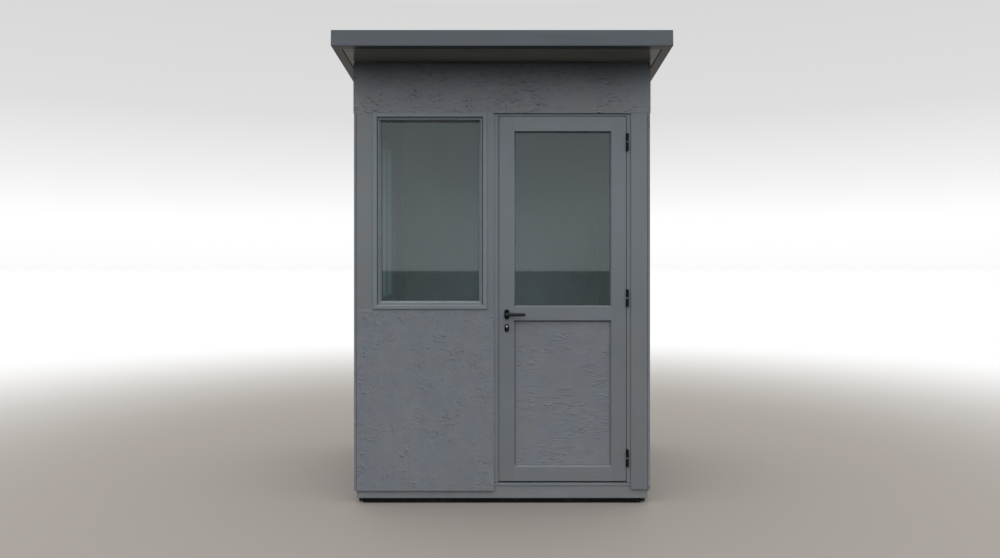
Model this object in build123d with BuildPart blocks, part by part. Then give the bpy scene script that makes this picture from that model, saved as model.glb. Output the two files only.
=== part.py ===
# Security guard booth: a small one-room cabin with painted strand-board panels on a
# steel base, a mono-pitch roof with a metal fascia, one window in the front and in
# each side, and a glazed door that opens outwards.
#
# Units are millimetres. +Z is up, the front of the booth faces -Y and +X is to the
# right of someone who looks at the door. The origin is on the ground, in the middle
# of the roof's plan.

from build123d import *
import os
from math import cos, radians, sin, tan

os.makedirs("parts", exist_ok=True)

# Cabin
wall_width = 1640.0
wall_depth = 1500.0
wall_thick = 80.0
skin_thick = 12.0
post_size = 93.0
header_lap = 3.0

# Base
foot_height = 27.0
foot_diameter = 60.0
foot_rim = 4.0
foot_plate = 8.0
foot_stem = 16.0
foot_nut = 24.0
foot_nut_height = 8.0
foot_inset = 45.0
rail_height = 73.0
rail_width = 60.0
rail_corner = 4.0
rail_lip = 5.0
floor_thick = 24.0
joist_width = 40.0
joist_count = 2
skin_drop = 28.0
skirt_thick = 3.0
skirt_setback = 8.0
skirt_clearance = 2.0
skirt_corner = 38.0

# Heights above the floor that the front shows
sill_above_floor = 978.0
head_above_floor = 2064.0
header_height = 286.0
header_seam_from_mullion = 5.0
front_panel_inset = 2.0
strip_recess = 1.0
strip_lift = 8.0
seam_groove = 1.5

# Roof
roof_slope = 3.9
eave_front = 250.0
eave_back = 75.0
eave_side = 73.0
fascia_height = 86.5
fascia_sheet = 3.0
fascia_bend = 3.5
fascia_bottom_lip = 48.0
fascia_top_lip = 30.0
roof_core_thick = 67.5
soffit_groove = 5.0
eave_joint = 9.0
roof_sheet_thick = 2.0
rib_base = 46.0
rib_top = 26.0
rib_count = 6
ceiling_thick = 25.0

# Windows
window_joint = 0.5
window_proud = 6.0
window_edge = 1.5
window_bevel = 5.0
window_outer_face = 23.0
window_bead_face = 22.0
window_bead_splay = 11.0
window_bead_land = 3.0
window_depth = 68.0
window_bead_recess = 1.0
window_glass_recess = 24.0
glass_thick = 6.0
glass_edge_cover = 13.0
side_window_width = 632.0

# Door frame
mullion_width = 38.0
door_frame_width = 760.0
jamb_face = 22.0
head_face = 21.0
head_cover = 8.0
threshold_height = 14.0
threshold_proud = 4.0
threshold_nose_depth = 18.0
threshold_nose_drop = 5.0
stop_width = 14.0
seal_gap = 5.0

# Door leaf
gap_lock_side = 9.5
gap_hinge_side = 5.0
gap_over = 5.0
gap_under = 10.0
leaf_thick = 45.0
leaf_proud = 2.0
stile_width = 80.0
top_rail_height = 78.5
middle_rail_height = 74.0
middle_rail_rise = 892.5
bottom_rail_height = 77.5
door_glass_joint = 0.5
bead_width = 7.0
bead_recess = 1.0
bead_splay = 6.0
bead_land = 2.0
door_panel_thick = 19.0
door_panel_recess = 12.0

# Hinges
hinge_from_bottom = 129.0
hinge_middle_rise = 1016.0
hinge_from_top = 141.0
hinge_length = 97.0
hinge_barrel = 15.0
hinge_cap_height = 3.0
hinge_cap_face = 9.0
hinge_pin = 8.0
hinge_pin_clearance = 0.3
hinge_axis_from_leaf = 7.0
hinge_axis_proud = 8.0
hinge_plate_thick = 2.0
hinge_plate_depth = 30.0
hinge_knuckle_gap = 0.5

# Handle and lock
lever_above_rail = 32.5
lever_from_edge = 40.0
lever_reach = 104.0
lever_bar_height = 21.0
lever_tip_height = 17.0
lever_bar_thick = 11.0
lever_edge = 3.0
lever_stand_off = 40.0
lever_neck = 16.0
spindle_size = 8.0
spindle_hole = 14.0
rose_width = 27.0
rose_height = 56.0
plate_thick = 8.0
plate_edge = 2.5
neck_clearance = 0.5
lock_drop = 67.0
escutcheon_width = 24.0
escutcheon_height = 44.0
cylinder_round = 17.0
cylinder_web = 10.0
cylinder_height = 33.0
cylinder_proud = 3.0
cylinder_fit = 0.2
key_slot_height = 9.0
key_slot_width = 2.0
key_slot_depth = 2.0
faceplate_width = 22.0
faceplate_height = 235.0
strike_height = 160.0
strike_slot_width = 12.0
strike_slot_height = 30.0
faceplate_thick = 3.0
faceplate_fit = 0.2

# Plan lines that follow from the sizes above
slope = tan(radians(roof_slope))
roof_plan = wall_depth + eave_front + eave_back
front_y = -roof_plan / 2 + eave_front
back_y = front_y + wall_depth
side_x = wall_width / 2
frame_x = side_x - skin_thick
frame_front_y = front_y + skin_thick
frame_back_y = back_y - skin_thick
frame_mid_y = (frame_front_y + frame_back_y) / 2
post_inner_x = frame_x - post_size
inner_x = side_x - wall_thick
inner_front_y = front_y + wall_thick
inner_back_y = back_y - wall_thick

floor_top = foot_height + rail_height
floor_bottom = floor_top - floor_thick
skin_bottom = floor_top - skin_drop
sill_height = floor_top + sill_above_floor
head_height = floor_top + head_above_floor
soffit_height = head_height + header_height

door_right_x = post_inner_x
door_left_x = door_right_x - door_frame_width
mullion_left_x = door_left_x - mullion_width
header_seam_x = mullion_left_x + header_seam_from_mullion
door_head_top = head_height + head_cover
door_head_bottom = door_head_top - head_face
threshold_top = floor_top + threshold_height

leaf_left_x = door_left_x + jamb_face + gap_lock_side
leaf_right_x = door_right_x - jamb_face - gap_hinge_side
leaf_bottom = threshold_top + gap_under
leaf_top = door_head_bottom - gap_over
leaf_front_y = frame_front_y - leaf_proud
leaf_back_y = leaf_front_y + leaf_thick
stop_y = leaf_back_y + seal_gap
middle_rail_bottom = leaf_bottom + middle_rail_rise
hinge_x = leaf_right_x + hinge_axis_from_leaf
hinge_y = leaf_front_y - hinge_axis_proud
hinge_heights = (
    leaf_bottom + hinge_from_bottom,
    leaf_bottom + hinge_middle_rise,
    leaf_top - hinge_from_top,
)
glass_left_x = leaf_left_x + stile_width
glass_right_x = leaf_right_x - stile_width
lever_x = leaf_left_x + lever_from_edge
lever_height = middle_rail_bottom + lever_above_rail
lock_height = lever_height - lock_drop
lock_plate_height = lock_height - (cylinder_height - cylinder_round) / 2
lock_case_height = (lever_height + lock_height) / 2
plate_mid_y = (leaf_front_y + leaf_back_y) / 2


def soffit_z(y):
    """Height of the roof's underside over the plan line y."""
    return soffit_height - (y - front_y) * slope


def side_profile(x, points):
    """A closed outline in the Y-Z plane that stands at x."""
    with BuildSketch(Plane.YZ.offset(x)) as profile:
        with BuildLine():
            Polyline(*points, close=True)
        make_face()
    return profile.sketch


def upright_profile(y_from, y_to, z_from):
    """Corner points of a plumb piece that reaches up to the sloping roof."""
    return (
        (y_from, z_from),
        (y_to, z_from),
        (y_to, soffit_z(y_to)),
        (y_from, soffit_z(y_from)),
    )


def square_profile(y_from, y_to, z_from, z_to):
    """Corner points of a piece that is square to the ground."""
    return ((y_from, z_from), (y_to, z_from), (y_to, z_to), (y_from, z_to))


def write(builder, name):
    """Label a finished piece and write it to its file."""
    builder.part.label = name
    export_step(builder.part, f"parts/{name}.step")


# Levelling feet under corners and middles: a round plate that rises to a threaded stem,
# and a lock nut against the rail
foot_x = frame_x - foot_inset
foot_rows = (frame_front_y + foot_inset, (front_y + back_y) / 2, frame_back_y - foot_inset)
foot_places = [(x, y) for x in (-foot_x, foot_x) for y in foot_rows]
upwards = (Align.CENTER, Align.CENTER, Align.MIN)
with BuildPart() as feet:
    with Locations(*[(x, y, 0) for x, y in foot_places]):
        Cylinder(foot_diameter / 2, foot_rim, align=upwards)
        Cylinder(foot_stem / 2, foot_height, align=upwards)
    with Locations(*[(x, y, foot_rim) for x, y in foot_places]):
        Cone(foot_diameter / 2, foot_nut / 2, foot_plate - foot_rim, align=upwards)
    with BuildSketch(Plane.XY.offset(foot_height - foot_nut_height)):
        with Locations(*foot_places):
            RegularPolygon(foot_nut / 2, 6, major_radius=False)
    extrude(amount=foot_nut_height)
write(feet, "feet")


def rail_profile(plane, edge, inwards):
    """Base rail section: a box with rolled lower edges and a thin lip outside the floor."""
    points = (
        (0, foot_height),
        (rail_width, foot_height),
        (rail_width, floor_bottom),
        (rail_lip, floor_bottom),
        (rail_lip, floor_top),
        (0, floor_top),
    )
    with BuildSketch(plane) as profile:
        with BuildLine():
            Polyline(*[(edge + inwards * d, z) for d, z in points], close=True)
        make_face()
        fillet(profile.vertices().group_by(Axis.Y)[0], rail_corner)
    return profile.sketch


# Base rails: the front and back ones run through, the side ones stand between them
for name, edge_y, inwards in (
    ("base_rail_front", frame_front_y, 1),
    ("base_rail_back", frame_back_y, -1),
):
    with BuildPart() as end_rail:
        extrude(rail_profile(Plane.YZ.offset(-frame_x), edge_y, inwards), amount=2 * frame_x)
    write(end_rail, name)

for name, side in (("base_rail_left", -1), ("base_rail_right", 1)):
    with BuildPart() as side_rail:
        extrude(
            rail_profile(Plane.XZ.offset(-(frame_front_y + rail_width)), side * frame_x, -side),
            amount=-(frame_back_y - frame_front_y - 2 * rail_width),
        )
    write(side_rail, name)

# Joists that carry the middle of the floor from the left rail to the right one
with BuildPart() as floor_joists:
    joist_step = (frame_back_y - frame_front_y) / (joist_count + 1)
    with BuildSketch(Plane.XY.offset(foot_height)):
        for index in range(joist_count):
            with Locations((0, frame_front_y + (index + 1) * joist_step)):
                Rectangle(2 * (frame_x - rail_width), joist_width)
    extrude(amount=floor_bottom - foot_height)
write(floor_joists, "floor_joists")

# Skirts of thin sheet that close the gap under the rails from foot to foot
skirt_length_x = 2 * (frame_x - skirt_corner)
skirt_length_y = frame_back_y - frame_front_y - 2 * skirt_corner
skirt_edge = skirt_setback + skirt_thick / 2
with BuildPart() as base_skirts:
    with BuildSketch(Plane.XY.offset(skirt_clearance)):
        with Locations((0, frame_front_y + skirt_edge), (0, frame_back_y - skirt_edge)):
            Rectangle(skirt_length_x, skirt_thick)
        with Locations((-frame_x + skirt_edge, frame_mid_y), (frame_x - skirt_edge, frame_mid_y)):
            Rectangle(skirt_thick, skirt_length_y)
    extrude(amount=foot_height - skirt_clearance)
write(base_skirts, "base_skirts")

with BuildPart() as floor_panel:
    with BuildSketch(Plane.XY.offset(floor_bottom)):
        with Locations((0, frame_mid_y)):
            Rectangle(2 * (frame_x - rail_lip), frame_back_y - frame_front_y - 2 * rail_lip)
    extrude(amount=floor_thick)
write(floor_panel, "floor_panel")

# Corner posts stand on the floor and end under the sloping roof. The front ones are rebated
# behind the boards, and come forward almost to the boards' face where no board covers them.
for name, side, post_y in (
    ("corner_post_front_left", -1, frame_front_y),
    ("corner_post_front_right", 1, frame_front_y),
    ("corner_post_back_left", -1, frame_back_y - post_size),
    ("corner_post_back_right", 1, frame_back_y - post_size),
):
    with BuildPart() as post:
        extrude(
            side_profile(side * post_inner_x, upright_profile(post_y, post_y + post_size, floor_top)),
            amount=side * post_size,
        )
        if post_y == frame_front_y:
            strip_bottom = sill_height if side < 0 else skin_bottom + strip_lift
            extrude(
                side_profile(
                    side * post_inner_x,
                    square_profile(front_y + strip_recess, frame_front_y, strip_bottom, head_height),
                ),
                amount=side * (post_size - front_panel_inset),
            )
    write(post, name)

# Front wall: lower panel, a mullion between window and door, and two header boards that
# meet in a shallow groove and end in an open joint under the eave
with BuildPart() as front_lower_panel:
    extrude(
        side_profile(-post_inner_x, square_profile(frame_front_y, inner_front_y, floor_top, sill_height)),
        amount=mullion_left_x + post_inner_x,
    )
    extrude(
        side_profile(
            -frame_x + front_panel_inset,
            square_profile(front_y, frame_front_y, skin_bottom, sill_height),
        ),
        amount=door_left_x + frame_x - front_panel_inset,
    )
write(front_lower_panel, "front_lower_panel")

with BuildPart() as mullion_post:
    extrude(
        side_profile(
            mullion_left_x, square_profile(frame_front_y, inner_front_y, floor_top, door_head_top)
        ),
        amount=mullion_width,
    )
    extrude(
        side_profile(
            mullion_left_x,
            square_profile(front_y + strip_recess, frame_front_y, sill_height, head_height),
        ),
        amount=mullion_width,
    )
write(mullion_post, "mullion_post")

for name, skin_from, skin_to, core_from, core_to, core_bottom in (
    ("header_over_window", -side_x - header_lap, header_seam_x,
     -post_inner_x, mullion_left_x, head_height),
    ("header_over_door", header_seam_x, side_x + header_lap,
     mullion_left_x, post_inner_x, door_head_top),
):
    with BuildPart() as header:
        extrude(
            side_profile(
                skin_from,
                (
                    (front_y, head_height),
                    (frame_front_y, head_height),
                    (frame_front_y, soffit_z(frame_front_y) - eave_joint),
                    (front_y, soffit_z(front_y) - eave_joint),
                ),
            ),
            amount=skin_to - skin_from,
        )
        seam_edge = header.edges().filter_by(Axis.Z).sort_by_distance((header_seam_x, front_y, head_height))
        chamfer(seam_edge[0], seam_groove)
        extrude(
            side_profile(core_from, upright_profile(frame_front_y, inner_front_y, core_bottom)),
            amount=core_to - core_from,
        )
    write(header, name)

# Side walls: an outer skin over the posts and a core between them, cut for a window
side_window_y = (front_y + back_y) / 2
for name, side in (("left_wall", -1), ("right_wall", 1)):
    with BuildPart() as side_wall:
        extrude(
            side_profile(
                side * frame_x,
                (
                    (front_y, skin_bottom),
                    (frame_back_y, skin_bottom),
                    (frame_back_y, soffit_z(frame_back_y)),
                    (frame_front_y, soffit_z(frame_front_y)),
                    (frame_front_y, head_height),
                    (front_y, head_height),
                ),
            ),
            amount=side * skin_thick,
        )
        extrude(
            side_profile(
                side * inner_x,
                upright_profile(frame_front_y + post_size, frame_back_y - post_size, floor_top),
            ),
            amount=side * (wall_thick - skin_thick),
        )
        with BuildSketch(Plane.YZ.offset(side * inner_x)):
            with Locations((side_window_y, (sill_height + head_height) / 2)):
                Rectangle(side_window_width, head_height - sill_height)
        extrude(amount=side * wall_thick, mode=Mode.SUBTRACT)
    write(side_wall, name)

with BuildPart() as back_wall:
    extrude(
        side_profile(-side_x, upright_profile(frame_back_y, back_y, skin_bottom)),
        amount=2 * side_x,
    )
    extrude(
        side_profile(-post_inner_x, upright_profile(inner_back_y, frame_back_y, floor_top)),
        amount=2 * post_inner_x,
    )
write(back_wall, "back_wall")

# Roof, drawn in a plane that falls to the back with the roof
slope_angle = radians(roof_slope)
roof_length = roof_plan / cos(slope_angle)
roof_half_width = side_x + eave_side
fascia_half = fascia_height / 2
core_bottom_z = -fascia_half + fascia_sheet
core_top_z = core_bottom_z + roof_core_thick
rib_top_z = fascia_half - fascia_sheet
roof_mid_z = soffit_z(0) - core_bottom_z / cos(slope_angle)
roof_plane = Plane(
    origin=(0, 0, roof_mid_z), x_dir=(1, 0, 0), z_dir=(0, sin(slope_angle), cos(slope_angle))
)
roof_end_plane = Plane(
    origin=roof_plane.origin, x_dir=roof_plane.x_dir, z_dir=-roof_plane.y_dir
)
roof_side_plane = Plane(
    origin=roof_plane.origin, x_dir=roof_plane.y_dir, z_dir=roof_plane.x_dir
)


def ring(plane, width, height, face):
    """A rectangular ring around the plane's origin, face wide all round."""
    with BuildSketch(plane) as outline:
        Rectangle(width, height)
        Rectangle(width - 2 * face, height - 2 * face, mode=Mode.SUBTRACT)
    return outline.sketch


# Roof panel, with a groove in its underside along the fascia's bottom lip
with BuildPart() as roof_panel:
    with BuildSketch(roof_plane.offset(core_bottom_z)):
        Rectangle(2 * (roof_half_width - fascia_sheet), roof_length - 2 * fascia_sheet)
    extrude(amount=roof_core_thick)
    extrude(
        ring(
            roof_plane.offset(core_bottom_z),
            2 * (roof_half_width - fascia_bottom_lip),
            roof_length - 2 * fascia_bottom_lip,
            soffit_groove,
        ),
        amount=soffit_groove,
        mode=Mode.SUBTRACT,
    )
write(roof_panel, "roof_panel")

# Roof sheet with low ribs that run down the slope and end under the fascia's top lip
sheet_half = roof_half_width - fascia_sheet
rib_step = 2 * sheet_half / rib_count
sheet_top = [(-sheet_half, core_top_z + roof_sheet_thick)]
for index in range(rib_count):
    rib_x = -sheet_half + (index + 0.5) * rib_step
    sheet_top += [
        (rib_x - rib_base / 2, core_top_z + roof_sheet_thick),
        (rib_x - rib_top / 2, rib_top_z),
        (rib_x + rib_top / 2, rib_top_z),
        (rib_x + rib_base / 2, core_top_z + roof_sheet_thick),
    ]
sheet_top.append((sheet_half, core_top_z + roof_sheet_thick))
sheet_underside = [(x, z - roof_sheet_thick) for x, z in reversed(sheet_top)]
with BuildPart() as roof_sheet:
    with BuildSketch(roof_end_plane.offset(-roof_length / 2)):
        with BuildLine():
            Polyline(*sheet_top, *sheet_underside, close=True)
        make_face()
    extrude(amount=roof_length - fascia_sheet)
write(roof_sheet, "roof_sheet")


def channel_profile(plane, edge, inwards, top_z, lip):
    """Fascia section: an upright face, a bottom lip and a top lip of length lip."""
    points = [
        (0, -fascia_half),
        (fascia_bottom_lip, -fascia_half),
        (fascia_bottom_lip, -fascia_half + fascia_sheet),
        (fascia_sheet, -fascia_half + fascia_sheet),
    ]
    if lip > 0:
        points += [
            (fascia_sheet, top_z - fascia_sheet),
            (lip, top_z - fascia_sheet),
            (lip, top_z),
            (0, top_z),
        ]
    else:
        points += [(fascia_sheet, top_z), (0, top_z)]
    with BuildSketch(plane) as profile:
        with BuildLine():
            Polyline(*[(edge + inwards * d, z) for d, z in points], close=True)
        make_face()
        bends = profile.vertices().group_by(Axis.X)[0 if inwards > 0 else -1]
        fillet(bends if lip > 0 else bends.sort_by(Axis.Y)[:1], fascia_bend)
    return profile.sketch


half_x = roof_half_width
half_y = roof_length / 2
mitre = fascia_bottom_lip
for name, side in (("fascia_left", -1), ("fascia_right", 1)):
    with BuildPart() as side_fascia:
        extrude(
            channel_profile(roof_end_plane.offset(-half_y), side * half_x, -side, fascia_half,
                            fascia_top_lip),
            amount=2 * half_y,
        )
        with BuildSketch(roof_plane.offset(-fascia_half)):
            with BuildLine():
                Polyline(
                    (side * half_x, -half_y),
                    (side * half_x, half_y),
                    (side * (half_x - mitre), half_y - mitre),
                    (side * (half_x - mitre), -half_y + mitre),
                    close=True,
                )
            make_face()
        extrude(amount=fascia_height, mode=Mode.INTERSECT)
    write(side_fascia, name)

for name, end, top_z, lip in (
    ("fascia_front", -1, fascia_half, fascia_top_lip),
    ("fascia_back", 1, core_top_z, 0),
):
    with BuildPart() as end_fascia:
        extrude(
            channel_profile(roof_side_plane.offset(-half_x), end * half_y, -end, top_z, lip),
            amount=2 * half_x,
        )
        with BuildSketch(roof_plane.offset(-fascia_half)):
            with BuildLine():
                Polyline(
                    (-half_x, end * half_y),
                    (half_x, end * half_y),
                    (half_x - mitre, end * (half_y - mitre)),
                    (-half_x + mitre, end * (half_y - mitre)),
                    close=True,
                )
            make_face()
        extrude(amount=fascia_height, mode=Mode.INTERSECT)
    write(end_fascia, name)

with BuildPart() as ceiling_panel:
    extrude(
        side_profile(
            -inner_x,
            (
                (inner_front_y, soffit_z(inner_front_y) - ceiling_thick),
                (inner_back_y, soffit_z(inner_back_y) - ceiling_thick),
                (inner_back_y, soffit_z(inner_back_y)),
                (inner_front_y, soffit_z(inner_front_y)),
            ),
        ),
        amount=2 * inner_x,
    )
    with BuildSketch(Plane.XY.offset(head_height)):
        for post_x in (-post_inner_x - post_size / 2, post_inner_x + post_size / 2):
            for post_y in (frame_front_y + post_size / 2, frame_back_y - post_size / 2):
                with Locations((post_x, post_y)):
                    Rectangle(post_size, post_size)
    extrude(amount=soffit_height - head_height, mode=Mode.SUBTRACT)
write(ceiling_panel, "ceiling_panel")


def splay(plane, width, height, run, depth):
    """The two mouths of an opening that widens by run all round over its last depth."""
    with BuildSketch(plane.offset(-depth)) as throat:
        Rectangle(width, height)
    with BuildSketch(plane) as mouth:
        Rectangle(width + 2 * run, height + 2 * run)
    return [throat.sketch, mouth.sketch]


# Fixed windows: a stepped frame, a splayed glazing bead in the step and a pane behind it
window_mid_z = (sill_height + head_height) / 2
window_walls = (
    ("front", post_inner_x + mullion_left_x,
     Plane(origin=((mullion_left_x - post_inner_x) / 2, front_y, window_mid_z),
           x_dir=(1, 0, 0), z_dir=(0, -1, 0))),
    ("left", side_window_width,
     Plane(origin=(-side_x, side_window_y, window_mid_z), x_dir=(0, -1, 0), z_dir=(-1, 0, 0))),
    ("right", side_window_width,
     Plane(origin=(side_x, side_window_y, window_mid_z), x_dir=(0, 1, 0), z_dir=(1, 0, 0))),
)
sight_face = window_outer_face + window_bead_face
for wall, opening_width, face_plane in window_walls:
    frame_width = opening_width - 2 * window_joint
    frame_height = head_height - sill_height - 2 * window_joint
    pane_front = -window_glass_recess
    pane_back = pane_front - glass_thick
    with BuildPart() as window_frame:
        extrude(
            ring(face_plane.offset(window_proud - window_depth), frame_width, frame_height,
                 window_outer_face),
            amount=window_depth,
        )
        extrude(
            ring(face_plane.offset(window_proud - window_depth), frame_width, frame_height, sight_face),
            amount=pane_back - window_proud + window_depth,
        )
        outwards = Axis(face_plane.origin, face_plane.z_dir)
        chamfer(window_frame.faces().sort_by(outwards)[-1].outer_wire().edges(), window_edge)
        chamfer(window_frame.faces().sort_by(outwards)[-1].inner_wires()[0].edges(), window_bevel)
    write(window_frame, f"{wall}_window_frame")

    bead_outer = (frame_width - 2 * window_outer_face, frame_height - 2 * window_outer_face)
    bead_depth = window_glass_recess - window_bead_recess
    with BuildPart() as window_bead:
        extrude(
            ring(face_plane.offset(pane_front), *bead_outer, window_bead_face),
            amount=bead_depth,
        )
        loft(
            splay(
                face_plane.offset(-window_bead_recess),
                frame_width - 2 * sight_face,
                frame_height - 2 * sight_face,
                window_bead_splay,
                bead_depth - window_bead_land,
            ),
            mode=Mode.SUBTRACT,
        )
    write(window_bead, f"{wall}_window_bead")

    pane_width = frame_width - 2 * (sight_face - glass_edge_cover)
    pane_height = frame_height - 2 * (sight_face - glass_edge_cover)
    with BuildPart() as window_glass:
        with BuildSketch(face_plane.offset(pane_back)):
            Rectangle(pane_width, pane_height)
        extrude(amount=glass_thick)
    write(window_glass, f"{wall}_window_glass")


def plan_profile(z, points):
    """A closed outline in plan at height z."""
    with BuildSketch(Plane.XY.offset(z)) as profile:
        with BuildLine():
            Polyline(*points, close=True)
        make_face()
    return profile.sketch


# Door frame: two jambs with a stop behind the leaf, a head on them and a threshold
for name, edge_x, inwards in (
    ("door_jamb_lock_side", door_left_x, 1),
    ("door_jamb_hinge_side", door_right_x, -1),
):
    with BuildPart() as jamb:
        extrude(
            plan_profile(
                threshold_top,
                [
                    (edge_x, frame_front_y),
                    (edge_x + inwards * jamb_face, frame_front_y),
                    (edge_x + inwards * jamb_face, stop_y),
                    (edge_x + inwards * (jamb_face + stop_width), stop_y),
                    (edge_x + inwards * (jamb_face + stop_width), inner_front_y),
                    (edge_x, inner_front_y),
                ],
            ),
            amount=door_head_bottom - threshold_top,
        )
        if name == "door_jamb_lock_side":
            with BuildSketch(Plane.YZ.offset(edge_x + inwards * jamb_face)):
                with Locations((plate_mid_y, lock_case_height)):
                    Rectangle(faceplate_width + 2 * faceplate_fit, strike_height + 2 * faceplate_fit)
            extrude(amount=-faceplate_thick, mode=Mode.SUBTRACT)
    write(jamb, name)

# Strike plate, let in flush, with slots for the latch and the lock bolt
with BuildPart() as strike_plate:
    with BuildSketch(Plane.YZ.offset(door_left_x + jamb_face - faceplate_thick)):
        with Locations((plate_mid_y, lock_case_height)):
            Rectangle(faceplate_width, strike_height)
        with Locations((plate_mid_y, lever_height), (plate_mid_y, lock_height)):
            Rectangle(strike_slot_width, strike_slot_height, mode=Mode.SUBTRACT)
    extrude(amount=faceplate_thick)
write(strike_plate, "strike_plate")

stop_left_x = door_left_x + jamb_face + stop_width
stop_length = door_frame_width - 2 * (jamb_face + stop_width)
with BuildPart() as door_head:
    extrude(
        side_profile(
            door_left_x, square_profile(frame_front_y, inner_front_y, door_head_bottom, door_head_top)
        ),
        amount=door_frame_width,
    )
    extrude(
        side_profile(
            stop_left_x,
            square_profile(stop_y, inner_front_y, door_head_bottom - stop_width, door_head_bottom),
        ),
        amount=stop_length,
    )
write(door_head, "door_head")

with BuildPart() as door_threshold:
    extrude(
        side_profile(
            door_left_x,
            (
                (frame_front_y - threshold_proud, floor_top),
                (inner_front_y, floor_top),
                (inner_front_y, threshold_top),
                (frame_front_y - threshold_proud + threshold_nose_depth, threshold_top),
                (frame_front_y - threshold_proud, threshold_top - threshold_nose_drop),
            ),
        ),
        amount=door_frame_width,
    )
    extrude(
        side_profile(
            stop_left_x,
            square_profile(stop_y, inner_front_y, threshold_top, threshold_top + stop_width),
        ),
        amount=stop_length,
    )
write(door_threshold, "door_threshold")


def cylinder_profile(plane, fit):
    """Outline of the lock cylinder, a round barrel over a narrow web, larger by fit all round."""
    web_length = cylinder_height - cylinder_round / 2 + cylinder_web / 2
    web_mid = lock_height + cylinder_round / 2 - cylinder_height + web_length / 2
    with BuildSketch(plane) as profile:
        with Locations((lever_x, lock_height)):
            Circle(cylinder_round / 2 + fit)
        with Locations((lever_x, web_mid)):
            SlotOverall(web_length + 2 * fit, cylinder_web + 2 * fit, rotation=90)
    return profile.sketch


# Door leaf: stiles from bottom to top, rails between them
with BuildPart() as door_stile_lock_side:
    with BuildSketch(Plane.XY.offset(leaf_bottom)):
        with Locations((leaf_left_x + stile_width / 2, leaf_front_y + leaf_thick / 2)):
            Rectangle(stile_width, leaf_thick)
    extrude(amount=leaf_top - leaf_bottom)
    with BuildSketch(Plane.XZ.offset(-leaf_back_y)):
        with Locations((lever_x, lever_height)):
            Circle(spindle_hole / 2)
    extrude(amount=leaf_thick, mode=Mode.SUBTRACT)
    extrude(
        cylinder_profile(Plane.XZ.offset(-leaf_back_y), cylinder_fit),
        amount=leaf_thick,
        mode=Mode.SUBTRACT,
    )
    with BuildSketch(Plane.YZ.offset(leaf_left_x)):
        with Locations((plate_mid_y, lock_case_height)):
            Rectangle(faceplate_width + 2 * faceplate_fit, faceplate_height + 2 * faceplate_fit)
    extrude(amount=faceplate_thick, mode=Mode.SUBTRACT)
write(door_stile_lock_side, "door_stile_lock_side")

with BuildPart() as lock_faceplate:
    with BuildSketch(Plane.YZ.offset(leaf_left_x)):
        with Locations((plate_mid_y, lock_case_height)):
            Rectangle(faceplate_width, faceplate_height)
    extrude(amount=faceplate_thick)
write(lock_faceplate, "lock_faceplate")

with BuildPart() as door_stile_hinge_side:
    with BuildSketch(Plane.XY.offset(leaf_bottom)):
        with Locations((leaf_right_x - stile_width / 2, leaf_front_y + leaf_thick / 2)):
            Rectangle(stile_width, leaf_thick)
    extrude(amount=leaf_top - leaf_bottom)
write(door_stile_hinge_side, "door_stile_hinge_side")

glass_bottom = middle_rail_bottom + middle_rail_height
glass_top = leaf_top - top_rail_height
panel_bottom = leaf_bottom + bottom_rail_height
for name, rail_bottom, rail_top in (
    ("door_rail_bottom", leaf_bottom, panel_bottom),
    ("door_rail_middle", middle_rail_bottom, glass_bottom),
    ("door_rail_top", glass_top, leaf_top),
):
    with BuildPart() as door_rail:
        extrude(
            side_profile(glass_left_x, square_profile(leaf_front_y, leaf_back_y, rail_bottom, rail_top)),
            amount=glass_right_x - glass_left_x,
        )
    write(door_rail, name)

# What fills the leaf: a pane above, a board below, each between splayed beads on both sides
field_width = glass_right_x - glass_left_x
field_mid_x = (glass_left_x + glass_right_x) / 2
door_fields = (
    ("door_glass", glass_bottom, glass_top, (leaf_thick - glass_thick) / 2, glass_thick),
    ("door_panel", panel_bottom, middle_rail_bottom, door_panel_recess, door_panel_thick),
)
for name, field_bottom, field_top, recess, thick in door_fields:
    field_height = field_top - field_bottom
    field_plane = Plane(
        origin=(field_mid_x, leaf_front_y, (field_bottom + field_top) / 2),
        x_dir=(1, 0, 0), z_dir=(0, -1, 0),
    )
    with BuildPart() as field:
        with BuildSketch(field_plane.offset(-recess - thick)):
            Rectangle(field_width - 2 * door_glass_joint, field_height - 2 * door_glass_joint)
        extrude(amount=thick)
    write(field, name)

    back_plane = Plane(
        origin=(field_mid_x, leaf_back_y, field_plane.origin.Z), x_dir=(-1, 0, 0), z_dir=(0, 1, 0)
    )
    with BuildPart() as field_beads:
        for bead_plane, field_depth in (
            (field_plane, recess),
            (back_plane, leaf_thick - recess - thick),
        ):
            extrude(
                ring(bead_plane.offset(-field_depth), field_width, field_height, bead_width),
                amount=field_depth - bead_recess,
            )
            loft(
                splay(
                    bead_plane.offset(-bead_recess),
                    field_width - 2 * bead_width,
                    field_height - 2 * bead_width,
                    bead_splay,
                    field_depth - bead_recess - bead_land,
                ),
                mode=Mode.SUBTRACT,
            )
    write(field_beads, f"{name}_beads")

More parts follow.
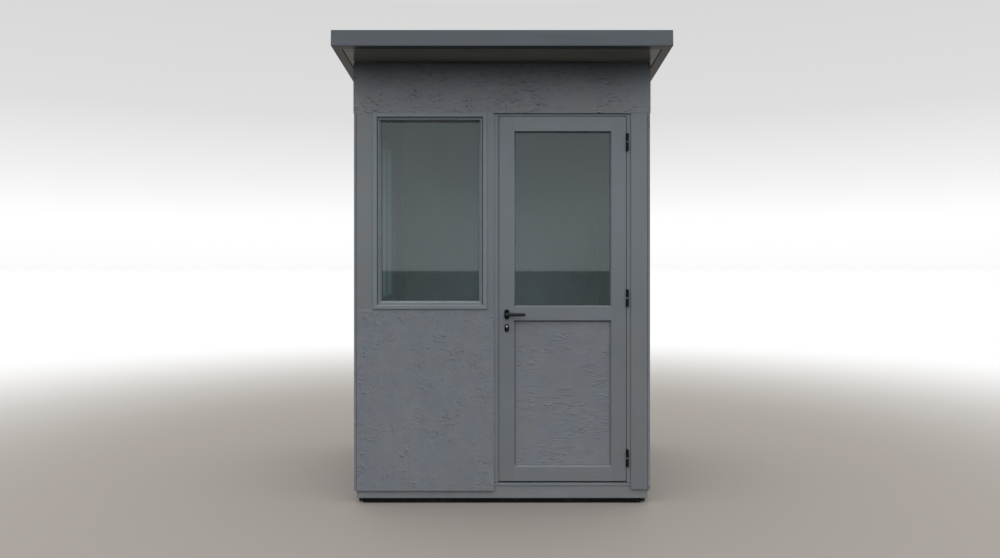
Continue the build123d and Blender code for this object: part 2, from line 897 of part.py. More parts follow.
# Hinges: the lower knuckle with the pin is on the frame, the upper one on the leaf, and
# each ends in a tapered cap. A plate from each knuckle lies in the joint between leaf and jamb.
barrel = hinge_barrel / 2
plate_back_y = leaf_front_y + hinge_plate_depth
leaf_plate_x = leaf_right_x + hinge_plate_thick / 2
frame_plate_x = door_right_x - jamb_face - hinge_plate_thick / 2
knuckle_length = (hinge_length - hinge_knuckle_gap) / 2 - hinge_cap_height
knuckle_reach = hinge_length / 2 - hinge_cap_height
with BuildPart() as hinge_frame_halves:
    for mid_z in hinge_heights:
        with BuildSketch(Plane.XY.offset(mid_z - knuckle_reach)):
            with Locations((hinge_x, hinge_y)):
                Circle(barrel)
            with Locations((frame_plate_x, (hinge_y + plate_back_y) / 2)):
                Rectangle(hinge_plate_thick, plate_back_y - hinge_y)
        extrude(amount=knuckle_length)
        with Locations((hinge_x, hinge_y, mid_z - hinge_length / 2)):
            Cone(hinge_cap_face / 2, barrel, hinge_cap_height, align=upwards)
        with BuildSketch(Plane.XY.offset(mid_z - hinge_knuckle_gap / 2)):
            with Locations((frame_plate_x, (leaf_front_y + plate_back_y) / 2)):
                Rectangle(hinge_plate_thick, plate_back_y - leaf_front_y)
        extrude(amount=knuckle_length + hinge_knuckle_gap)
        with BuildSketch(Plane.XY.offset(mid_z - hinge_length / 4)):
            with Locations((hinge_x, hinge_y)):
                Circle(hinge_pin / 2)
        extrude(amount=hinge_length / 2)
write(hinge_frame_halves, "hinge_frame_halves")

with BuildPart() as hinge_leaf_halves:
    for mid_z in hinge_heights:
        with BuildSketch(Plane.XY.offset(mid_z + hinge_knuckle_gap / 2)):
            with Locations((hinge_x, hinge_y)):
                Circle(barrel)
            with Locations((leaf_plate_x, (hinge_y + plate_back_y) / 2)):
                Rectangle(hinge_plate_thick, plate_back_y - hinge_y)
        extrude(amount=knuckle_length)
        with Locations((hinge_x, hinge_y, mid_z + knuckle_reach)):
            Cone(barrel, hinge_cap_face / 2, hinge_cap_height, align=upwards)
        with BuildSketch(Plane.XY.offset(mid_z - knuckle_reach)):
            with Locations((leaf_plate_x, (leaf_front_y + plate_back_y) / 2)):
                Rectangle(hinge_plate_thick, plate_back_y - leaf_front_y)
        extrude(amount=knuckle_length + hinge_knuckle_gap)
        with BuildSketch(Plane.XY.offset(mid_z + hinge_knuckle_gap / 2)):
            with Locations((hinge_x, hinge_y)):
                Circle(hinge_pin / 2 + hinge_pin_clearance)
        extrude(amount=hinge_length / 4 + hinge_pin_clearance, mode=Mode.SUBTRACT)
write(hinge_leaf_halves, "hinge_leaf_halves")

# Handle plates: a rose for the lever and a plate for the lock on each face of the leaf
with BuildPart() as handle_plates:
    for plate_y in (leaf_front_y, leaf_back_y + plate_thick):
        with BuildSketch(Plane.XZ.offset(-plate_y)):
            with Locations((lever_x, lever_height)):
                SlotOverall(rose_height, rose_width, rotation=90)
                Circle(lever_neck / 2 + neck_clearance, mode=Mode.SUBTRACT)
            with Locations((lever_x, lock_plate_height)):
                SlotOverall(escutcheon_height, escutcheon_width, rotation=90)
        extrude(amount=plate_thick)
        extrude(
            cylinder_profile(Plane.XZ.offset(-plate_y), cylinder_fit),
            amount=plate_thick,
            mode=Mode.SUBTRACT,
        )
    plate_faces = handle_plates.faces().filter_by(Axis.Y)
    for outer_face in plate_faces.group_by(Axis.Y)[0] + plate_faces.group_by(Axis.Y)[-1]:
        fillet(outer_face.outer_wire().edges(), plate_edge)
write(handle_plates, "handle_plates")

# Lever handles on both faces, joined by a square spindle through the stile
base = lever_bar_height / 2
tip = lever_tip_height / 2
tip_x = lever_x + lever_reach - tip
with BuildPart() as door_lever:
    with BuildSketch(Plane.XZ.offset(-(leaf_back_y + lever_stand_off))):
        with Locations((lever_x, lever_height)):
            Rectangle(spindle_size, spindle_size)
    extrude(amount=leaf_thick + 2 * lever_stand_off)
    for face_y, outwards in ((leaf_front_y, -1), (leaf_back_y, 1)):
        with BuildSketch(Plane.XZ.offset(-face_y)):
            with Locations((lever_x, lever_height)):
                Circle(lever_neck / 2)
        extrude(amount=-outwards * lever_stand_off)
        with BuildSketch(Plane.XZ.offset(-(face_y + outwards * (lever_stand_off - lever_bar_thick)))):
            with BuildLine():
                heel = ThreePointArc(
                    (lever_x, lever_height + base),
                    (lever_x - base, lever_height),
                    (lever_x, lever_height - base),
                )
                Line(heel @ 1, (tip_x, lever_height - tip))
                ThreePointArc(
                    (tip_x, lever_height - tip),
                    (tip_x + tip, lever_height),
                    (tip_x, lever_height + tip),
                )
                Line((tip_x, lever_height + tip), heel @ 0)
            make_face()
        extrude(amount=-outwards * lever_bar_thick)
    grip_faces = door_lever.faces().filter_by(Axis.Y)
    fillet(grip_faces.sort_by(Axis.Y)[0].edges(), lever_edge)
    fillet(grip_faces.sort_by(Axis.Y)[-1].edges(), lever_edge)
write(door_lever, "door_lever")

# Lock cylinder through the stile and both plates, with a key slot at each end
with BuildPart() as lock_cylinder:
    extrude(
        cylinder_profile(Plane.XZ.offset(-(leaf_back_y + plate_thick + cylinder_proud)), 0),
        amount=leaf_thick + 2 * (plate_thick + cylinder_proud),
    )
    for slot_y, inwards in (
        (leaf_front_y - plate_thick - cylinder_proud, 1),
        (leaf_back_y + plate_thick + cylinder_proud, -1),
    ):
        with BuildSketch(Plane.XZ.offset(-slot_y)):
            with Locations((lever_x, lock_height)):
                SlotOverall(key_slot_height, key_slot_width, rotation=90)
        extrude(amount=-inwards * key_slot_depth, mode=Mode.SUBTRACT)
write(lock_cylinder, "lock_cylinder")
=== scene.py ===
# Security guard booth, dressed for its picture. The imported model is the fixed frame: it keeps
# its shapes and gets its finishes here, and the small pieces that only show are added, such as
# rubber gaskets, door seals and screws. Metres, +Z up, the front faces -Y, +X is to the right.

import bmesh
import bpy
import numpy as np
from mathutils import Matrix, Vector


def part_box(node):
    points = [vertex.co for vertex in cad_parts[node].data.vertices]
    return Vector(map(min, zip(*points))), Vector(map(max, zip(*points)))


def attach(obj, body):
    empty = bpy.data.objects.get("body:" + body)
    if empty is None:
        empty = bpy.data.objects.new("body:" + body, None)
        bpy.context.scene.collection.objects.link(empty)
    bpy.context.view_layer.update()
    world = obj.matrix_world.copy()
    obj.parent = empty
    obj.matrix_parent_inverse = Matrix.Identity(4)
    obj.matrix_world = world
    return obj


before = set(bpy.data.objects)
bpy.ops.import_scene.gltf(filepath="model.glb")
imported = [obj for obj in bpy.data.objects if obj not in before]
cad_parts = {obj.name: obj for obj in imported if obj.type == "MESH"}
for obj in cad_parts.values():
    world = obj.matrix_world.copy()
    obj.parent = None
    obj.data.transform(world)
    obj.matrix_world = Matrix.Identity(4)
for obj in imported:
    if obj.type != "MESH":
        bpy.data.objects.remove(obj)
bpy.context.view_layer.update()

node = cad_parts


# Steel base: box rails and joists, welded and painted grey, on zinc plated levelling feet,
# with black skirts of thin sheet from foot to foot, their black also painted shade for the gap
# under the base. The paint is satin and dusty towards the ground, and the feet show the
# mottled crystals of the zinc.
class Wire:
    """One output of a shader node, written like a number: sums and products add Math nodes."""

    def __init__(self, tree, socket):
        self.tree = tree
        self.socket = socket

    def plug(self, made, inputs):
        """Sets or links the inputs of a node of this tree."""
        for name, value in inputs.items():
            if isinstance(value, Wire):
                self.tree.links.new(value.socket, made.inputs[name])
            else:
                made.inputs[name].default_value = value

    def node(self, kind, settings=None, inputs=None, out=0):
        """A new node: its settings and ramp stops are set first, then its inputs. It gives the
        output out, or a list of them where out is several numbers."""
        made = self.tree.nodes.new("ShaderNode" + kind)
        for name, value in (settings or {}).items():
            if name == "stops":
                while len(made.color_ramp.elements) < len(value):
                    made.color_ramp.elements.new(1.0)
                for stop, (place, tone) in zip(made.color_ramp.elements, value):
                    stop.position = place
                    stop.color = (tone, tone, tone, 1.0)
            else:
                setattr(made, name, value)
        self.plug(made, inputs or {})
        if isinstance(out, tuple):
            return [Wire(self.tree, made.outputs[number]) for number in out]
        return Wire(self.tree, made.outputs[out])

    def math(self, operation, other=0.0):
        """A Math node with this value first and the other one second."""
        return self.node("Math", {"operation": operation}, {0: self, 1: other})

    def __add__(self, other):
        return self.math("ADD", other)

    def __sub__(self, other):
        return self.math("SUBTRACT", other)

    def __rsub__(self, other):
        return self.node("Math", {"operation": "SUBTRACT"}, {0: other, 1: self})

    def __mul__(self, other):
        return self.math("MULTIPLY", other)

    def __abs__(self):
        return self.math("ABSOLUTE")

    __radd__ = __add__
    __rmul__ = __mul__

    def vector(self, operation, other, out=0):
        """Vector Math on this vector and another one."""
        return self.node("VectorMath", {"operation": operation}, {0: self, 1: other}, out)

    def ramp(self, *stops):
        """Passes a value through a ramp of (place, height) stops."""
        return self.node("ValToRGB", {"stops": stops}, {"Fac": self})

    def tone(self, dark, light):
        """A colour that goes from dark at 0 to light at 1. Either may be a wire."""
        ends = [end if isinstance(end, Wire) else (*end, 1.0) for end in (dark, light)]
        return self.node("Mix", {"data_type": "RGBA"}, {0: self, 6: ends[0], 7: ends[1]}, out=2)

    def stretched(self, scale):
        """The same place with each axis multiplied, so a pattern on it gets narrower."""
        return self.node("Mapping", {}, {"Vector": self, "Scale": scale})

    def cloud(self, scale, detail=2.0, roughness=0.5):
        """Noise about 0.5 at this place, scale lumps to the metre."""
        return self.node(
            "TexNoise", {}, {"Vector": self, "Scale": scale, "Detail": detail, "Roughness": roughness}
        )

    def relief(self, depth, under=None):
        """A normal from this height of 0 to 1, which stands depth metres high, on a surface
        with the normal under."""
        inputs = {"Height": self, "Distance": depth}
        if under is not None:
            inputs["Normal"] = under
        return self.node("Bump", {}, inputs)


def new_finish(name, gloss=0.5):
    """A new material: its Principled shader and the place on the object that it is drawn at.
    gloss is the shader's specular level."""
    made = bpy.data.materials.new(name)
    made.use_nodes = True
    tree = made.node_tree
    shader = tree.nodes["Principled BSDF"]
    shader.inputs["Specular IOR Level"].default_value = gloss
    return made, shader, Wire(tree, tree.nodes.new("ShaderNodeTexCoord").outputs["Object"])


def shade(colour, share):
    """The colour with its light multiplied by share."""
    return tuple(channel * share for channel in colour)


WARMER = (1.02, 1.0, 0.975)
COOLER = (0.98, 1.0, 1.025)


def weathered(at, colour, light, spread):
    """The colour made darker to lighter by a share of spread either way, as light goes from
    low to high, and in slow patches a little warmer or cooler."""
    hue = at.cloud(8.0, 2.0).ramp((0.38, 0.0), (0.62, 1.0))
    darkest, lightest = (
        hue.tone(tuple(np.multiply(WARMER, colour) * share), tuple(np.multiply(COOLER, colour) * share))
        for share in (1.0 - spread, 1.0 + spread)
    )
    return light.ramp((0.35, 0.0), (0.65, 1.0)).tone(darkest, lightest)


def coat(finish, *names):
    """Puts a finish on CAD nodes, in their own material slots."""
    for name in names:
        for place in node[name].material_slots:
            place.material = finish


ROAD_DUST = (0.25, 0.225, 0.19)
LEDGE_DUST_AND_HIGHLIGHT = (0.33, 0.33, 0.32)


def dusted(at, paint, splashed, settled=0.0, dirt=ROAD_DUST, reach=0.5):
    """The paint with dust on it. splashed is the share of dirt at the ground, with none from
    the height reach up, and settled the share of pale dust and painted highlight on ledges
    that face the sky."""
    up = at.node("SeparateXYZ", {}, {"Vector": at}, out=2)
    low_down = (up * (1.0 / reach)).ramp((0.0, splashed), (0.25, 0.6 * splashed), (1.0, 0.0))
    spots = at.cloud(7.0, 5.0, 0.65).ramp((0.35, 0.3), (0.65, 1.0))
    splashed_paint = (low_down * spots).tone(paint, dirt)
    if not settled:
        return splashed_paint
    # Ledges that face the sky get pale dust and a painted highlight.
    facing = at.node("SeparateXYZ", {}, {"Vector": at.node("NewGeometry", out=1)}, out=2)
    return facing.ramp((0.25, 0.0), (0.6, settled)).tone(splashed_paint, LEDGE_DUST_AND_HIGHLIGHT)


BASE_GREY = (0.131, 0.141, 0.153)
base_paint, shader, at = new_finish("base_paint", gloss=0.2)
drifts = at.stretched((3.0, 3.0, 14.0)).cloud(2.0, 4.0, 0.6)
brushed = at.stretched((60.0, 60.0, 240.0)).cloud(1.0, 2.0)
paint = weathered(at, BASE_GREY, drifts, spread=0.06)
at.plug(shader, {
    "Base Color": dusted(at, paint, splashed=0.14),
    "Roughness": 0.42 + 0.2 * drifts,
    "Normal": brushed.relief(0.00015),
})
coat(base_paint, "base_rail_front", "base_rail_back", "base_rail_left", "base_rail_right",
     "floor_joists")

ZINC = (0.20, 0.205, 0.21)
CRYSTALS_TO_METRE = 160.0
THREAD_SCALE = 160.0
foot_zinc, shader, at = new_finish("foot_zinc")
crystals = at.node("TexVoronoi", {}, {"Vector": at, "Scale": CRYSTALS_TO_METRE}, out=1)
thread = at.node("TexWave", {"bands_direction": "Z"}, {"Vector": at, "Scale": THREAD_SCALE})
at.plug(shader, {
    "Base Color": crystals.tone(shade(ZINC, 0.75), ZINC),
    "Metallic": 0.9,
    "Roughness": 0.35 + 0.2 * crystals,
    "Normal": thread.relief(0.0004),
})
coat(foot_zinc, "feet")

# The skirts' near black is also painted shade for the gap under the base.
SKIRT_BLACK_SHADE = (0.005, 0.005, 0.005)
skirt_coat, shader, at = new_finish("skirt_coat", gloss=0.05)
splashes = at.cloud(24.0, 4.0, 0.65)
at.plug(shader, {
    "Base Color": splashes.ramp((0.5, 0.0), (0.8, 0.05)).tone(SKIRT_BLACK_SHADE, ROAD_DUST),
    "Roughness": 0.75 + 0.2 * splashes,
    "Normal": splashes.relief(0.0003),
})
coat(skirt_coat, "base_skirts")


# Floor: one sheet of sealed plywood on the joists, brown with a long grain.
# It is glued and screwed down, and only shows through the open door and from below.
PLY_DARK = (0.16, 0.095, 0.05)
PLY_LIGHT = (0.33, 0.22, 0.125)
plywood, shader, at = new_finish("plywood")
grain = at.stretched((1.6, 34.0, 34.0)).cloud(1.6, 5.0, 0.6)
at.plug(shader, {
    "Base Color": grain.ramp((0.32, 0.0), (0.68, 1.0)).tone(PLY_DARK, PLY_LIGHT),
    "Roughness": 0.45 + 0.25 * grain,
    "Normal": grain.relief(0.0004),
})
coat(plywood, "floor_panel")


# Corner posts and mullion: planed timber under smooth satin paint. A faint upright grain and
# a slow change of tone are all that shows, and the paint turns darker towards the bottom.
POST_GREY = (0.112, 0.120, 0.131)
POST_DARKER_LOW = (0.070, 0.070, 0.070)
post_paint, shader, at = new_finish("post_paint", gloss=0.75)
wood = at.stretched((55.0, 55.0, 2.2)).cloud(1.0, 3.0, 0.6)
slow = at.cloud(2.3, 2.0)
paint = weathered(at, POST_GREY, 0.4 * wood + 0.6 * slow, spread=0.045)
# The posts turn darker towards the bottom.
at.plug(shader, {
    "Base Color": dusted(at, paint, splashed=0.15, dirt=POST_DARKER_LOW, reach=1.3),
    "Roughness": 0.18 + 0.08 * slow,
    "Normal": wood.relief(0.0003),
})
coat(post_paint, "corner_post_front_left", "corner_post_front_right",
     "corner_post_back_left", "corner_post_back_right", "mullion_post")


# Walls: pressed strand board, painted grey on both faces and screwed over the posts. Under
# the paint each strand is a long flat flake a little higher or lower than the next. Its rim
# curls up in places, with painted shade in the crease along it, and small pits lie where ends
# do not meet, with painted shade in them. Towards the top the boards get painted shade under
# the roof.
WALL_STRAND = (0.075, 0.026)
STRAND_EDGE = 0.0075
STRAND_SHIFT = 7.3
HALF_LENGTH_SHARE = 0.55
NARROWEST_SHARE = 0.24
WIDER_BY_SHARE = 0.3
FIBRES_ALONG = 24.0
FIBRES_ACROSS = 330.0
FIBRE_CHANGE = 40.0
PIT_SPACING = 0.031
PIT_SHIFT = 3.1
PIT_TURN = 1.6
PIT_HALF_LENGTH = 0.0105
PIT_HALF_WIDTH = 0.0040
PIT_SHADE = 0.12
# Painted shade under the roof: the height where it starts and the height over which it grows.
ROOF_SHADE_FROM = 2.22
ROOF_SHADE_SPAN = 0.22


def scattered(sheet, length, width, shift, spread):
    """The piece that lies here in a scatter with one piece to each length by width of a flat
    sheet: a Voronoi pattern on the squeezed place gives each piece its middle and a random
    colour, and the place from that middle is turned by up to half of spread either way. Gives
    the place along and across the piece, and three random numbers."""
    squeezed = sheet.stretched((1.0 / length, 1.0 / width, 1.0))
    squeezed = squeezed.vector("ADD", (shift, 2.0 * shift, 0.0))
    colour, middle = squeezed.node(
        "TexVoronoi", {"voronoi_dimensions": "2D"}, {"Vector": squeezed, "Scale": 1.0}, out=(1, 2)
    )
    away = squeezed.vector("SUBTRACT", middle).vector("MULTIPLY", (length, width, 0.0))
    red, green, blue = colour.node("SeparateColor", {}, {"Color": colour}, out=(0, 1, 2))
    rotated = away.node(
        "VectorRotate", {"rotation_type": "Z_AXIS"}, {"Vector": away, "Angle": (red - 0.5) * spread}
    )
    along, across = rotated.node("SeparateXYZ", {}, {"Vector": rotated}, out=(0, 1))
    return along, across, red, green, blue


def flakes(sheet, strand, shift, spread, creased):
    """One layer of flakes, as where they lie, how high they stand, their tone and their curled
    rims, each 0 to 1. A flake lies where both its places are nearer than its half length and
    half width. It has a height of its own, a little tilt and a fibre grain. creased is the
    share of flakes with a curled rim."""
    length, width = strand
    along, across, red, green, blue = scattered(sheet, length, width, shift, spread)
    past_end = abs(along) - HALF_LENGTH_SHARE * length
    past_side = abs(across) - (NARROWEST_SHARE + WIDER_BY_SHARE * blue) * width
    inside = past_end.math("MAXIMUM", past_side) * (-1.0 / STRAND_EDGE)
    cover = inside.ramp((0.0, 0.0), (1.0, 1.0))
    border = (0.5 * inside + 0.5).ramp((0.0, 0.0), (0.5, 1.0), (1.0, 0.0))
    curled = red.ramp((1.0 - creased, 0.0), (1.0 - 0.7 * creased, 1.0))
    grain_place = sheet.node("CombineXYZ", {}, {
        "X": along * FIBRES_ALONG, "Y": across * FIBRES_ACROSS, "Z": green * FIBRE_CHANGE,
    })
    grain = grain_place.cloud(1.0, 2.0, 0.6)
    top = 0.7 * green + 0.03 * grain + (red - 0.5) * across * (0.6 / width)
    return cover, top, 0.8 * blue + 0.2 * grain, border * curled


def pits(sheet, spread, share):
    """Small long dents, 0 on the board and 1 at the bottom, in a share of the places that lie
    PIT_SPACING apart. A dent fades with the squared distance from its middle, counted in half
    lengths and half widths, and a random number makes some larger than others."""
    along, across, _, green, blue = scattered(
        sheet, PIT_SPACING, PIT_SPACING, PIT_SHIFT, PIT_TURN * spread
    )
    reach = along * along * PIT_HALF_LENGTH ** -2 + across * across * PIT_HALF_WIDTH ** -2
    dent = (reach * (2.1 - 1.6 * blue)).ramp((0.2, 1.0), (1.0, 0.0))
    return dent * green.ramp((1.0 - share, 0.0), (1.0 - share + 0.002, 1.0))


def strand_board(
    name, colour, sideways, layers, strand, spread, depth, creased, crease_shade, pit_share
):
    """Painted strand board that stands along the axis sideways. Each layer is a scatter of
    flakes that lie level, where its letter is L, or upright, and later layers lie on top.
    strand gives the length and width of the flakes, spread how far they turn either way
    together, depth the height of the relief, creased the share of flakes with a curled rim,
    crease_shade how dark the painted shade in the rim's crease is and pit_share the share of
    places for a pit that hold one. Pits get painted shade too. Rims and pits come in groups,
    with calm board between them, and from a set height up the paint darkens as painted shade
    under the roof."""
    made, shader, at = new_finish(name, gloss=0.05)
    beside = at.vector("DOT_PRODUCT", sideways, out=1)
    up = at.node("SeparateXYZ", {}, {"Vector": at}, out=2)
    sheets = {
        "L": at.node("CombineXYZ", {}, {"X": beside, "Y": up}),
        "U": at.node("CombineXYZ", {}, {"X": up, "Y": beside}),
    }
    height = 0.5
    flake_tone = 0.5
    rim = 0.0
    for number, lie in enumerate(layers):
        cover, top, tone, curled_rim = flakes(
            sheets[lie], strand, STRAND_SHIFT * (number + 1), spread, creased
        )
        height = height + cover * (top - height)
        flake_tone = flake_tone + cover * (tone - flake_tone)
        rim = (1.0 - cover) * rim + curled_rim
    pit = pits(sheets[layers[-1]], spread, pit_share)
    groups = at.cloud(6.0, 3.0, 0.6).ramp((0.42, 0.1), (0.58, 1.0))
    broken = at.stretched((24.0, 24.0, 48.0)).cloud(1.0, 2.0).ramp((0.46, 0.0), (0.58, 1.0))
    curl = groups * rim * broken
    # Painted shade: the paint darkens in the creases of the curled rims and in the pits.
    dark = crease_shade * curl.ramp((0.5, 0.0), (1.0, 1.0)) + groups * pit * PIT_SHADE
    patches = at.cloud(2.4, 3.0, 0.6)
    mottle = at.cloud(14.0, 2.0)
    paint = weathered(at, colour, 0.3 * flake_tone + 0.35 * mottle + 0.35 * patches, spread=0.06)
    waves = at.cloud(5.0, 1.0).relief(0.0025)
    # Painted shade under the roof: the paint darkens towards the top of each board.
    toward_roof = (up - ROOF_SHADE_FROM) * (1.0 / ROOF_SHADE_SPAN)
    roof_shaded = toward_roof.ramp((0.0, 0.0), (0.4, 0.07), (1.0, 0.42)).tone(paint, shade(colour, 0.1))
    at.plug(shader, {
        "Base Color": dusted(at, dark.tone(roof_shaded, shade(colour, 0.25)), splashed=0.05),
        "Roughness": 0.50 + 0.15 * flake_tone,
        "Normal": (0.45 * groups * height + curl - 0.4 * groups * pit).relief(depth, waves),
    })
    return made


WALL_GREY = (0.134, 0.144, 0.160)
# Painted light: the header boards take the wall's grey made lighter.
HEADER_GREY_LIT = (0.149, 0.160, 0.174)
ACROSS_FRONT = (1.0, 0.0, 0.0)
ACROSS_SIDE = (0.0, 1.0, 0.0)
coat(
    strand_board("header_paint", HEADER_GREY_LIT, ACROSS_FRONT, "LLUL", WALL_STRAND, spread=1.9,
                 depth=0.0027, creased=0.9, crease_shade=0.04, pit_share=0.16),
    "header_over_window", "header_over_door",
)
coat(
    strand_board("front_paint", WALL_GREY, ACROSS_FRONT, "LULU", WALL_STRAND, spread=2.2,
                 depth=0.0013, creased=0.7, crease_shade=0.05, pit_share=0.08),
    "front_lower_panel", "back_wall",
)
coat(
    strand_board("side_paint", WALL_GREY, ACROSS_SIDE, "LULU", WALL_STRAND, spread=2.2,
                 depth=0.0013, creased=0.7, crease_shade=0.05, pit_share=0.08),
    "left_wall", "right_wall",
)


# Ceiling: the same board, painted pale, under the insulated roof panel. Its strands are
# drawn from side to side, and only a strip of it shows through the glass.
CEILING_PALE = (0.30, 0.30, 0.285)
ceiling_paint, shader, at = new_finish("ceiling_paint", gloss=0.22)
drawn = at.stretched((9.0, 34.0, 34.0))
strands = drawn.node("TexVoronoi", {}, {"Vector": drawn, "Scale": 1.0}, out=1)
at.plug(shader, {
    "Base Color": strands.tone(shade(CEILING_PALE, 0.95), shade(CEILING_PALE, 1.04)),
    "Roughness": 0.6,
    "Normal": strands.relief(0.0005),
})
coat(ceiling_paint, "ceiling_panel")


# Windows: stepped aluminium frames and splayed beads, powder coated in a satin grey, with
# black rubber gaskets that hold a single pane, and rubber wedges that press the beads in along
# the top and sides. The coat is smooth, with a fine orange peel.
def powder_coat(name, colour, gloss, settled=0.0):
    """Satin powder coat: fine orange peel, slow change of tone, pale dust and painted highlight on the
    ledges.
    """
    made, shader, at = new_finish(name, gloss)
    slow = at.cloud(3.1, 3.0, 0.55)
    specks = at.cloud(60.0, 3.0, 0.6)
    peel = at.cloud(420.0, 1.0)
    paint = weathered(at, colour, 0.6 * slow + 0.4 * specks, spread=0.05)
    at.plug(shader, {
        "Base Color": dusted(at, paint, splashed=0.04, settled=settled),
        "Roughness": 0.18 + 0.08 * slow,
        "Normal": peel.relief(0.00004),
    })
    return made


FRAME_GREY = (0.127, 0.143, 0.158)
coat(powder_coat("frame_paint", FRAME_GREY, gloss=0.6),
     "front_window_frame", "left_window_frame", "right_window_frame",
     "door_jamb_lock_side", "door_jamb_hinge_side", "door_head", "door_threshold")
# The beads' ledges get pale dust and a painted highlight.
coat(powder_coat("bead_paint", shade(FRAME_GREY, 0.96), gloss=0.6, settled=0.02),
     "front_window_bead", "left_window_bead", "right_window_bead")

RUBBER_BLACK = (0.016, 0.016, 0.017)


def rubber_of(name, colour):
    """Moulded rubber or nylon: matt, with a faint grey bloom."""
    made, shader, at = new_finish(name, gloss=0.25)
    bloom = at.cloud(60.0, 3.0)
    at.plug(shader, {
        "Base Color": bloom.tone(shade(colour, 0.75), shade(colour, 1.4)),
        "Roughness": 0.62 + 0.2 * bloom,
        "Normal": bloom.relief(0.0001),
    })
    return made


rubber = rubber_of("rubber", RUBBER_BLACK)


def skin(name, grid, finish, body, round_rows=False):
    """A closed mesh over grids of points, an array of pieces, rows, columns and x, y, z. A quad
    joins each point to the next in its row and column. The columns close on themselves, and so
    do the rows with round_rows. Otherwise each end row has all its points in one place. Points
    in one place are merged and faces turned outwards."""
    number = np.arange(grid.size // 3).reshape(grid.shape[:3])
    quads = np.stack([
        number,
        np.roll(number, -1, 1),
        np.roll(number, (-1, -1), (1, 2)),
        np.roll(number, -1, 2),
    ], axis=-1)
    if not round_rows:
        quads = quads[:, :-1]
    mesh = bpy.data.meshes.new(name)
    mesh.from_pydata(grid.reshape(-1, 3).tolist(), [], quads.reshape(-1, 4).tolist())
    shell = bmesh.new()
    shell.from_mesh(mesh)
    bmesh.ops.remove_doubles(shell, verts=shell.verts, dist=1e-6)
    bmesh.ops.recalc_face_normals(shell, faces=shell.faces)
    shell.to_mesh(mesh)
    shell.free()
    mesh.materials.append(finish)
    made = bpy.data.objects.new(name, mesh)
    bpy.context.scene.collection.objects.link(made)
    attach(made, body)
    return made


UP = np.array((0.0, 0.0, 1.0))


def mitred_ring(middle, across, outward, half_width, half_height, section):
    """A section carried round a rectangle that stands upright, with mitred corners. At the
    corner (i, j), each -1 or 1, the section point (inset, out) lies at middle
    + across * i * (half_width - inset) + up * j * (half_height - inset) + outward * out."""
    sideways, upwards = np.array([(-1, -1), (1, -1), (1, 1), (-1, 1)], float).T
    inset, out = section.T
    points = (
        middle
        + (sideways[:, None] * (half_width - inset))[..., None] * across
        + (upwards[:, None] * (half_height - inset))[..., None] * UP
        + out[None, :, None] * outward
    )
    return points[None]


def oval(inset, out, half_wide, half_deep, count=10):
    """Points round an ellipse that is centred at (inset, out)."""
    turn = np.arange(count) * 2 * np.pi / count
    return np.stack([inset + half_wide * np.cos(turn), out + half_deep * np.sin(turn)], axis=-1)


def strips(starts, ends, first_way, second_way, section):
    """Straight strips from each start to its end, with one section of (first, second) places,
    and each end closed on its middle."""
    first, second = section.T
    ring = first[:, None] * first_way + second[:, None] * second_way
    point = np.zeros_like(ring)
    start, end = starts[:, None], ends[:, None]
    return np.stack([start + point, start + ring, end + ring, end + point], axis=1)


PANE_COVER = 0.013
GASKET_HALF_FACE = 0.0013
GASKET_OUT = 0.0022
GASKET_SEAT = 0.55
gasket_section = oval(0.0, GASKET_OUT * GASKET_SEAT, GASKET_HALF_FACE, GASKET_OUT / 2)
WEDGE_INSET = 0.0030
WEDGE_HALF_FACE = 0.0021
WEDGE_HALF_OUT = 0.0008
WEDGE_SEAT = 0.4
wedge_section = oval(0.0, WEDGE_SEAT * WEDGE_HALF_OUT, WEDGE_HALF_FACE, WEDGE_HALF_OUT)
for wall, across, outward in (
    ("front", (1, 0, 0), (0, -1, 0)),
    ("left", (0, 1, 0), (-1, 0, 0)),
    ("right", (0, 1, 0), (1, 0, 0)),
):
    across, outward = np.array(across, float), np.array(outward, float)
    low, high = (np.array(corner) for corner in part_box(f"{wall}_window_glass"))
    span = high - low
    for side, face_name in ((1, "outside"), (-1, "inside")):
        middle = (low + high) / 2 + side * outward * abs(span @ outward) / 2
        skin(
            f"{wall}_window_gasket_{face_name}",
            mitred_ring(middle, across, side * outward, abs(span @ across) / 2 - PANE_COVER,
                        span[2] / 2 - PANE_COVER, gasket_section),
            rubber, "booth", round_rows=True,
        )
    low, high = (np.array(corner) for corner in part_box(f"{wall}_window_bead"))
    half = abs((high - low) @ across) / 2 - WEDGE_INSET
    half_up = (high - low)[2] / 2 - WEDGE_INSET
    face = (low + high) / 2 + outward * abs((high - low) @ outward) / 2
    bottom_left, bottom_right, top_right, top_left = (
        face + half * i * across + half_up * j * UP for i, j in ((-1, -1), (1, -1), (1, 1), (-1, 1))
    )
    skin(
        f"{wall}_window_wedge_sides",
        strips(np.stack([bottom_left, bottom_right]), np.stack([top_left, top_right]),
               across, outward, wedge_section),
        rubber, "booth",
    )
    skin(
        f"{wall}_window_wedge_top",
        strips(top_left[None], top_right[None], UP, outward, wedge_section),
        rubber, "booth",
    )


